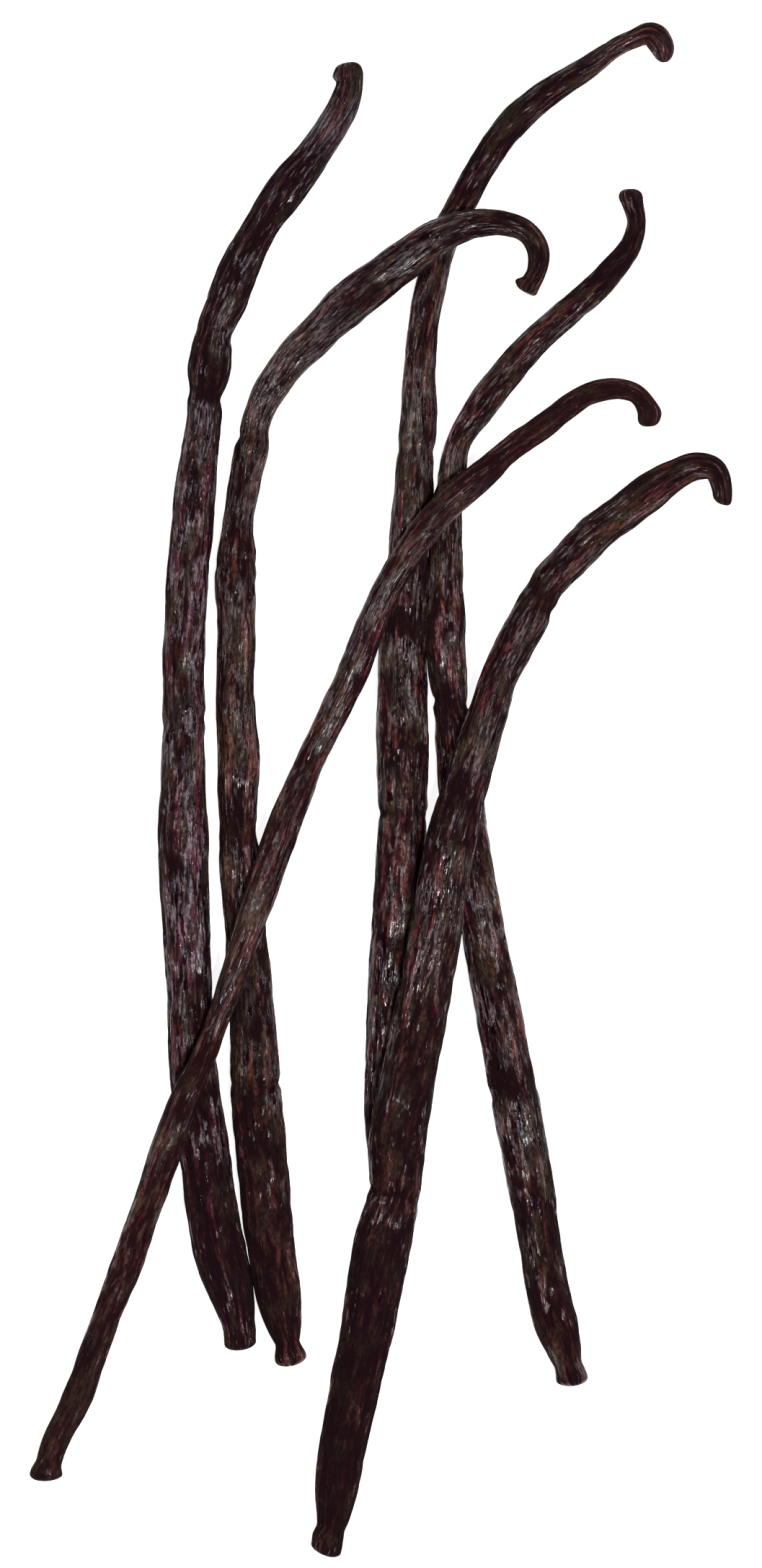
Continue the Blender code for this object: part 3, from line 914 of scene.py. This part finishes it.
    def gloss(self, tree: Tree, marks: Marks, pod: Pod) -> Socket:
        """Where the skin shines: large oily areas, and small dashes that gather on the crests of the ridges.

        Args:
            tree: the material's tree.
            marks: the skin's marks.
            pod: the pod, whose finish says how dry it is.

        Returns:
            0 where the skin is dry to 1 where it is oily.
        """
        lively, dryness = marks["lively"], marks["dryness"]
        crest = tree.remap(marks["raised"], *self.CREST_RANGE)
        dry = tree.remap(lively, 0.0, 1.0, pod.finish.dry_end, pod.finish.dry_middle)
        dry = tree.math("ADD", tree.math("MULTIPLY_ADD", dryness, self.AREA_DRYNESS, dry), crest)
        areas = self.streak(tree, marks["place"], pod.seed, self.OILY_AREAS, dry)
        sparse = tree.remap(lively, 0.0, 1.0, self.DASH_END, self.DASH_MIDDLE)
        sparse = tree.math("MULTIPLY_ADD", dryness, self.DASH_DRYNESS, sparse)
        sparse = tree.math("MULTIPLY_ADD", marks["patches"], self.DASH_IN_PATCHES, sparse)
        sparse = tree.math("MULTIPLY_ADD", marks["blotch"], self.DASH_IN_BLOTCHES, sparse)
        dashes = self.streak(tree, marks["place"], pod.seed, self.DASHES, tree.math("ADD", sparse, crest))
        gloss = tree.math("MAXIMUM", areas, dashes)
        return tree.math("MULTIPLY", gloss, tree.math("SUBTRACT", 1.0, marks["fold"]), clamp=True)

    def colour(self, tree: Tree, marks: Marks, gloss: Socket,
               finish: Finish) -> Socket:
        """The skin's colour: dark furrows, reddish brown ridges, and the streaks laid over them in turn.

        Args:
            tree: the material's tree.
            marks: the skin's marks.
            gloss: where the skin shines.
            finish: the pod's colours.

        Returns:
            The colour.
        """
        dust_and_sheen_streaks, gloom, raised = marks["dust_and_sheen_streaks"], marks["gloom"], marks["raised"]
        # painted sheen: where a band's gloom is below zero the skin turns grey, a painted highlight
        pale = tree.math("MULTIPLY", gloom, tree.math("MULTIPLY_ADD", dust_and_sheen_streaks, *self.PAINTED_SHEEN_STREAKS))
        rusty = tree.math("MULTIPLY", tree.math("MULTIPLY", marks["rust"], raised), finish.rust)
        # where a band's gloom is above zero the skin darkens, less on the grey streaks; on a crease this is
        # painted shade
        murk = tree.math("MULTIPLY_ADD", dust_and_sheen_streaks, *self.MURK_OFF_STREAKS)
        # grey streaks on shining places, part grey dusting and part painted highlight
        dust_and_glints = tree.math("MULTIPLY", dust_and_sheen_streaks, tree.math("MULTIPLY", marks["patches"], gloss))
        # the dark lines and the creases take the furrow colour as painted shade; blotches and specks are a
        # darker tone
        layers = (
            (tree.math("MULTIPLY", marks["dark"], self.DARK_SHARE), finish.furrow),
            (tree.math("MULTIPLY", marks["green"], self.OLIVE_SHARE), finish.olive),
            (tree.math("MULTIPLY", marks["fold"], self.FOLD_SHARE), finish.furrow),
            (tree.math("MULTIPLY", marks["blotch"], finish.gloom), finish.furrow),
            (tree.math("MULTIPLY", pale, -1.0, clamp=True), finish.grey),
            (rusty, finish.ridge),
            (tree.math("MULTIPLY", gloom, murk, clamp=True), finish.furrow),
            (tree.math("MULTIPLY", dust_and_glints, finish.dust_and_glints), finish.grey),
            (tree.math("MULTIPLY", marks["speck"], self.SPECK_SHARE), finish.furrow))
        # painted shade: the furrows between the raised ridges take the furrow colour
        base = self.mix(tree, tree.remap(raised, *self.RAISED_RANGE), finish.furrow, finish.body)
        for share, colour in layers:
            base = self.mix(tree, share, base, colour)
        return base

    def height(self, tree: Tree, marks: Marks) -> Socket:
        """The finest relief, which only the light shows.

        Args:
            tree: the material's tree.
            marks: the skin's marks.

        Returns:
            Its height in millimetres.
        """
        grain = tree.math("MULTIPLY", marks["grain"], self.GRAIN_HEIGHT)
        fine = tree.math("MULTIPLY_ADD", marks["glint"], self.GLINT_HEIGHT, grain)
        fine = tree.math("MULTIPLY_ADD", marks["dust_and_sheen_streaks"], self.DUST_HEIGHT, fine)
        return tree.math("SUBTRACT", fine, tree.math("MULTIPLY", marks["dark"], self.DARK_DEPTH))

    def skin(self, pod: Pod) -> bpy.types.Material:
        """The oily, streaked skin of one pod.

        Args:
            pod: the pod whose colours and seed it takes.

        Returns:
            The material.
        """
        finish = pod.finish
        material = bpy.data.materials.new(pod.name.replace("pod_", "vanilla_skin_"))
        material.use_nodes = True
        material.node_tree.nodes.clear()
        tree = Tree(material.node_tree)
        marks = self.marks(tree, pod.seed)
        gloss = self.gloss(tree, marks, pod)
        rough = tree.math("ADD", tree.remap(gloss, 0.0, 1.0, finish.matte, finish.roughness, smooth=False),
                          tree.remap(marks["grain"], *self.GRAIN_SHEEN))
        bump = tree.add("ShaderNodeBump", {
            "Strength": 1.0, "Distance": MILLIMETRE, "Height": self.height(tree, marks)})
        shader = tree.add("ShaderNodeBsdfPrincipled", {
            "Base Color": self.colour(tree, marks, gloss, finish), "Roughness": rough,
            "IOR": self.REFRACTION, "Specular IOR Level": self.SPECULAR, "Normal": bump.outputs[0]})
        tree.add("ShaderNodeOutputMaterial", {"Surface": shader.outputs[0]})
        return material


@dataclass
class PodSkin:
    """Makes one pod's fine skin over its course. Lengths are millimetres."""

    course: Course
    skins: SkinTree
    ring_step: float = 0.24
    side_step: float = 0.165
    stem_rings: int = 14
    first_ring: float = 0.02
    blossom_rounding: float = 1.1
    blossom_rings: int = 9
    blossom_fullness: float = 0.1
    blossom_curve: float = 0.3
    last_ring: float = 0.02
    slant_length: float = 2.5
    dent_width: float = 1.1
    dent_depth: float = 0.24
    proud: float = 0.13
    ridge_width: float = 0.72
    ridge_depth: float = 0.27
    ridge_stretch: float = 30.0
    wrinkle_width: float = 0.38
    wrinkle_depth: float = 0.16
    wrinkle_stretch: float = 12.0
    crinkle_width: float = 0.30
    crinkle_depth: float = 0.10
    lump_width: float = 2.4
    lump_depth: float = 0.55
    face_depth: float = 0.03
    face_turn: float = 0.011
    crease_wander: float = 3.2
    crease_softness: float = 1.25
    crease_rim: float = 0.3
    crease_rim_place: float = 1.9
    crease_lean_reach: float = 5.0
    shade_flatness: int = 4
    stem_calm: float = 2.5
    blossom_calm: float = 1.2
    end_relief: float = 0.15
    calm_relief: float = 0.5
    full_ring: float = 0.9
    relief_onset: float = 3.0
    point_gap: float = 0.01

    def rings(self) -> tuple[np.ndarray, np.ndarray]:
        """Rings of the skin: close together round the two ends, and at even steps between.

        Returns:
            Their places along the pod, and how much of the full section each keeps.
        """
        pod, length = self.course.pod, self.course.length
        stem_turns = np.linspace(self.first_ring, 1.0, self.stem_rings) * math.pi / 2
        power = 2 / pod.stem_squareness
        stem_reach = np.sin(stem_turns) ** power
        stem_place = pod.stem_rounding * (1.0 - np.cos(stem_turns) ** power)
        turns = np.linspace(0.0, 1.0, self.blossom_rings + 1)[1:] * math.pi / 2
        end_place = length - self.blossom_rounding * (1.0 - np.sin(turns))
        round_part = np.cos(turns) * (1.0 - self.blossom_fullness)
        full_part = self.blossom_fullness * np.cos(turns) ** self.blossom_curve
        end_reach = np.maximum(round_part + full_part, self.last_ring)
        first, last = stem_place[-1], length - self.blossom_rounding
        count = int((last - first) / self.ring_step)
        body = np.linspace(first, last, count + 1)[1:]
        places = np.concatenate((stem_place, body, end_place))
        reach = np.concatenate((stem_reach, np.ones(len(body)), end_reach))
        return places, reach

    def crease_depths(self, places: np.ndarray) -> tuple[np.ndarray, np.ndarray]:
        """The creases, each with a low rim on both of its sides.

        Args:
            places: places along the pod.

        Returns:
            How deep the creases press there, and how far they lean.
        """
        depth = np.zeros(len(places))
        lean = np.zeros(len(places))
        for crease in self.course.pod.creases:
            nearest = float(self.course.along[np.argmin(np.abs(self.course.y - crease.y))])
            apart = (places - nearest) / (crease.length * self.crease_softness)
            rim = self.crease_rim * np.exp(-(np.abs(apart) - self.crease_rim_place) ** 2)
            depth += crease.depth * (np.exp(-apart ** 2) - rim)
            lean += crease.slant * np.exp(-(apart / self.crease_lean_reach) ** 2)
        return depth, lean

    def bulged(self, places: np.ndarray, side: str) -> np.ndarray:
        """How far the bulges swell one side of the pod.

        Args:
            places: places along the pod.
            side: left or right.

        Returns:
            The swelling at each place.
        """
        swell = np.zeros(len(places))
        for bulge in self.course.pod.bulges:
            middle = bulge.place % self.course.length
            swell += getattr(bulge, side) * np.exp(-((places - middle) / bulge.length) ** 2)
        return swell

    def shaded(self, places: np.ndarray, quality: str) -> np.ndarray:
        """How dark or how dry the pod's bands make it.

        Args:
            places: places along the pod.
            quality: gloom or dryness.

        Returns:
            The amount at each place.
        """
        y = self.course.at("y", places)
        amount = np.zeros(len(places))
        for shade in self.course.pod.shades:
            amount += getattr(shade, quality) * np.exp(-((y - shade.y) / shade.reach) ** self.shade_flatness)
        return amount

    def numbers(self, places: np.ndarray, reach: np.ndarray) -> dict[str, np.ndarray]:
        """What the skin's tree reads at each ring.

        Args:
            places: the rings' places along the pod.
            reach: how much of the full section each ring keeps.

        Returns:
            The numbers by name.
        """
        course, pod = self.course, self.course.pod
        left = course.length - places
        body = ease(np.minimum(places / self.stem_calm, left / self.blossom_calm)) * (reach > self.full_ring)
        body = self.end_relief + (1.0 - self.end_relief) * body
        lively = ease(places / pod.calm_stem) * ease(left / pod.calm_blossom)
        strength = self.calm_relief + (1.0 - self.calm_relief) * lively
        depth, lean = self.crease_depths(places)
        stem_slant = pod.stem_slant * (1.0 - ease(places / self.slant_length))
        blossom_slant = pod.blossom_slant * (1.0 - ease(left / self.slant_length))
        half_width = course.at("width", places) / 2
        return {
            "ring": np.arange(len(places), dtype=float), "along": places, "reach": reach,
            "half_width": half_width, "half_thick": course.at("thick", places) / 2,
            "slant": stem_slant + blossom_slant,
            "crease": depth, "crease_lean": lean * half_width / self.ring_step,
            "bulge_left": self.bulged(places, "left"), "bulge_right": self.bulged(places, "right"),
            "body": body * pod.wrinkling * np.clip(reach * self.relief_onset - 1.0, 0.0, 1.0) * strength,
            "lively": lively,
            "gloom": self.shaded(places, "gloom"), "dryness": self.shaded(places, "dryness")}

    def directions(self, places: np.ndarray) -> dict[str, np.ndarray]:
        """Where each ring's middle is, and the directions to its side, up and ahead along the pod.

        Args:
            places: the rings' places along the pod.

        Returns:
            The vectors by name.
        """
        course = self.course
        middle = np.stack([course.at(name, places) for name in ("x", "y", "height")], axis=1)
        line = np.gradient(np.stack((course.x, course.y, course.height), axis=1), axis=0)
        ahead = np.stack([np.interp(places, course.along, line[:, i]) for i in range(3)], axis=1)
        ahead /= np.linalg.norm(ahead, axis=1, keepdims=True)
        side = np.stack((ahead[:, 1], -ahead[:, 0], np.zeros(len(places))), axis=1)
        side /= np.linalg.norm(side, axis=1, keepdims=True)
        return {"middle": middle, "side": side, "up": np.cross(side, ahead), "ahead": ahead}

    def route(self) -> bpy.types.Object:
        """A line with a point for each ring, which carries what the tree needs there.

        The line is straight, and its points only have to be apart: the tree moves every ring to its middle.

        Returns:
            An object whose mesh is that line.
        """
        name = self.course.pod.name + "_route"
        places, reach = self.rings()
        count = len(places)
        mesh = bpy.data.meshes.new(name)
        spaced = np.stack((places + np.arange(count) * self.point_gap, places * 0, places * 0), axis=1)
        mesh.from_pydata((spaced * MILLIMETRE).tolist(), [(i, i + 1) for i in range(count - 1)], [])
        for label, values in self.numbers(places, reach).items():
            mesh.attributes.new(label, "FLOAT", "POINT").data.foreach_set("value", values.astype(np.float32))
        for label, values in self.directions(places).items():
            layer = mesh.attributes.new(label, "FLOAT_VECTOR", "POINT")
            layer.data.foreach_set("vector", values.astype(np.float32).ravel())
        return bpy.data.objects.new(name, mesh)

    def make(self, material: bpy.types.Material) -> bpy.types.Mesh:
        """Sweeps the skin.

        Args:
            material: the pod's skin material.

        Returns:
            A plain mesh in metres, in the photograph's frame.
        """
        course, pod = self.course, self.course.pod
        piece = self.route()
        bpy.context.scene.collection.objects.link(piece)
        girth = math.pi * float(course.width.mean() + course.thick.mean()) / 2
        values = {name: getattr(self, name.lower().replace(" ", "_")) for name in SkinTree.MEASURES}
        values.update({
            "Sides": 2 * round(girth / self.side_step / 2), "Girth": girth / math.tau, "Skin": material,
            "Crease Wander": self.crease_wander / self.ring_step, "Twist": pod.twist, "Face Start": pod.turn,
            "Seed": float(pod.seed)})
        modifier = piece.modifiers.new("skin", "NODES")
        modifier.node_group = self.skins.group
        for socket in self.skins.group.interface.items_tree:
            if socket.name in values:
                modifier[socket.identifier] = values[socket.name]
        seen = bpy.context.evaluated_depsgraph_get()
        mesh = bpy.data.meshes.new_from_object(piece.evaluated_get(seen), depsgraph=seen)
        bpy.data.objects.remove(piece, do_unlink=True)
        return mesh


class Bundle:
    """The six pods, laid one after another and aligned with the frame."""

    def __init__(self) -> None:
        """Lays the pods' courses."""
        self.courses: dict[str, Course] = {}
        self.shift: tuple[float, float, float] = (0.0, 0.0, 0.0)
        for pod in PODS:
            course = Course(pod)
            course.lay([self.courses[name] for name in pod.over])
            self.courses[pod.name] = course

    @staticmethod
    def corners(mesh: bpy.types.Mesh) -> tuple[np.ndarray, np.ndarray]:
        """Finds a mesh's box.

        Args:
            mesh: the mesh.

        Returns:
            Its lowest and highest corner.
        """
        points = np.empty(len(mesh.vertices) * 3, np.float32)
        mesh.vertices.foreach_get("co", points)
        points = points.reshape(-1, 3)
        return points.min(axis=0), points.max(axis=0)

    def align(self, meshes: dict[str, bpy.types.Mesh]) -> None:
        """Works out the shift that brings the skins onto the solids, the same for all.

        Args:
            meshes: the skins by their pods' names.
        """
        shifts = []
        for name, mesh in meshes.items():
            low, high = self.corners(mesh)
            frame_low, frame_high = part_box(name)
            shifts.append((np.array(frame_low) + np.array(frame_high) - low - high) / 2)
        mean = np.mean(shifts, axis=0)
        self.shift = (float(mean[0]), float(mean[1]), 0.0)

    def hand_over(self, pod: Pod, mesh: bpy.types.Mesh) -> None:
        """Moves a skin onto its solid, takes that one's place in the frame, and logs how the two compare.

        Args:
            pod: the pod.
            mesh: its skin.
        """
        mesh.transform(Matrix.Translation(self.shift))
        mesh.shade_smooth()
        piece = bpy.data.objects.new("skin_of_" + pod.name, mesh)
        bpy.context.scene.collection.objects.link(piece)
        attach(piece, "root")
        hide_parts(pod.name)
        off = [np.round((mine - np.array(solid)) / MILLIMETRE, 2)
               for mine, solid in zip(self.corners(mesh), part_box(pod.name))]
        LOG.info("%s: %d faces, off the solid by %s and %s mm", piece.name, len(mesh.polygons), *off)

    def build(self) -> None:
        """Makes the skins and hands them to the frame."""
        skins, materials = SkinTree(), SkinMaterials()
        meshes = {pod.name: PodSkin(self.courses[pod.name], skins).make(materials.skin(pod)) for pod in PODS}
        self.align(meshes)
        for pod in PODS:
            self.hand_over(pod, meshes[pod.name])


@dataclass(frozen=True)
class Light:
    """A soft square light: its place and its side in metres, its power in watts, and its colour."""

    name: str
    place: tuple[float, float, float]
    size: float
    watts: float
    colour: tuple[float, float, float]

    def build(self) -> None:
        """Adds the light, which shines at the middle of the bundle."""
        lamp = bpy.data.lights.new(self.name, "AREA")
        lamp.size = self.size
        lamp.energy = self.watts
        lamp.color = self.colour
        piece = bpy.data.objects.new(self.name, lamp)
        piece.location = self.place
        piece.rotation_euler = (-Vector(self.place)).to_track_quat("-Z", "Y").to_euler()
        bpy.context.scene.collection.objects.link(piece)


LIGHTS = (
    Light("key", (0.18, -0.17, 0.93), 0.11, 16.0, (1.0, 0.99, 0.98)),
    Light("left", (-0.48, 0.22, 0.80), 0.14, 5.5, (1.0, 0.96, 0.92)),
    Light("right", (0.56, 0.10, 0.77), 0.14, 5.0, (1.0, 0.98, 0.96)))


@dataclass
class Studio:
    """Pale floor, soft lights and the camera that looks straight down."""

    photo_size: tuple[int, int] = (1057, 2174)
    photo_middle: tuple[float, float] = (529.0, 1093.0)
    pixel: float = 0.105
    box_middle: tuple[float, float] = (0.0, 0.0)
    camera_height: float = 1.3
    focus_height: float = 0.003
    sensor: float = 36.0
    floor_half: float = 3.0
    floor_height: float = -0.0001
    floor_grey: float = 0.6
    floor_roughness: float = 0.9
    floor_specular: float = 0.1
    floor_glow: float = 0.9
    world_glow: float = 0.05

    def floor(self) -> None:
        """A plain pale floor, which glows a little so that the pods stand out on white."""
        half = self.floor_half
        corners = ((-half, -half), (half, -half), (half, half), (-half, half))
        mesh = bpy.data.meshes.new("floor")
        mesh.from_pydata([(x, y, self.floor_height) for x, y in corners], [], [(0, 1, 2, 3)])
        material = bpy.data.materials.new("pale_floor")
        material.use_nodes = True
        inputs = material.node_tree.nodes["Principled BSDF"].inputs
        inputs["Base Color"].default_value = (self.floor_grey, self.floor_grey, self.floor_grey, 1.0)
        inputs["Roughness"].default_value = self.floor_roughness
        inputs["Specular IOR Level"].default_value = self.floor_specular
        inputs["Emission Color"].default_value = (1.0, 1.0, 1.0, 1.0)
        inputs["Emission Strength"].default_value = self.floor_glow
        mesh.materials.append(material)
        piece = bpy.data.objects.new("floor", mesh)
        bpy.context.scene.collection.objects.link(piece)

    def world(self) -> None:
        """A dim white surrounding, and plain colours."""
        world = bpy.data.worlds.new("studio")
        world.use_nodes = True
        inputs = world.node_tree.nodes["Background"].inputs
        inputs["Color"].default_value = (1.0, 1.0, 1.0, 1.0)
        inputs["Strength"].default_value = self.world_glow
        bpy.context.scene.world = world
        bpy.context.scene.view_settings.view_transform = "Standard"

    def camera(self) -> None:
        """Looks straight down, framed as the photograph is."""
        data = bpy.data.cameras.new("camera")
        data.sensor_fit = "VERTICAL"
        data.sensor_height = self.sensor
        scale = self.pixel * MILLIMETRE
        data.lens = self.sensor * (self.camera_height - self.focus_height) / (self.photo_size[1] * scale)
        piece = bpy.data.objects.new("camera", data)
        x = self.box_middle[0] + (self.photo_size[0] / 2 - self.photo_middle[0]) * scale
        y = self.box_middle[1] + (self.photo_middle[1] - self.photo_size[1] / 2) * scale
        piece.location = (x, y, self.camera_height)
        bpy.context.scene.collection.objects.link(piece)
        bpy.context.scene.camera = piece

    def build(self) -> None:
        """Sets up the whole studio."""
        self.floor()
        for light in LIGHTS:
            light.build()
        self.world()
        self.camera()


def main() -> None:
    """Builds the pods and the studio around the frame."""
    logging.basicConfig(level=logging.INFO, format="%(message)s")
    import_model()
    bundle = Bundle()
    bundle.build()
    Studio(box_middle=bundle.shift[:2]).build()


if __name__ == "__main__":
    main()
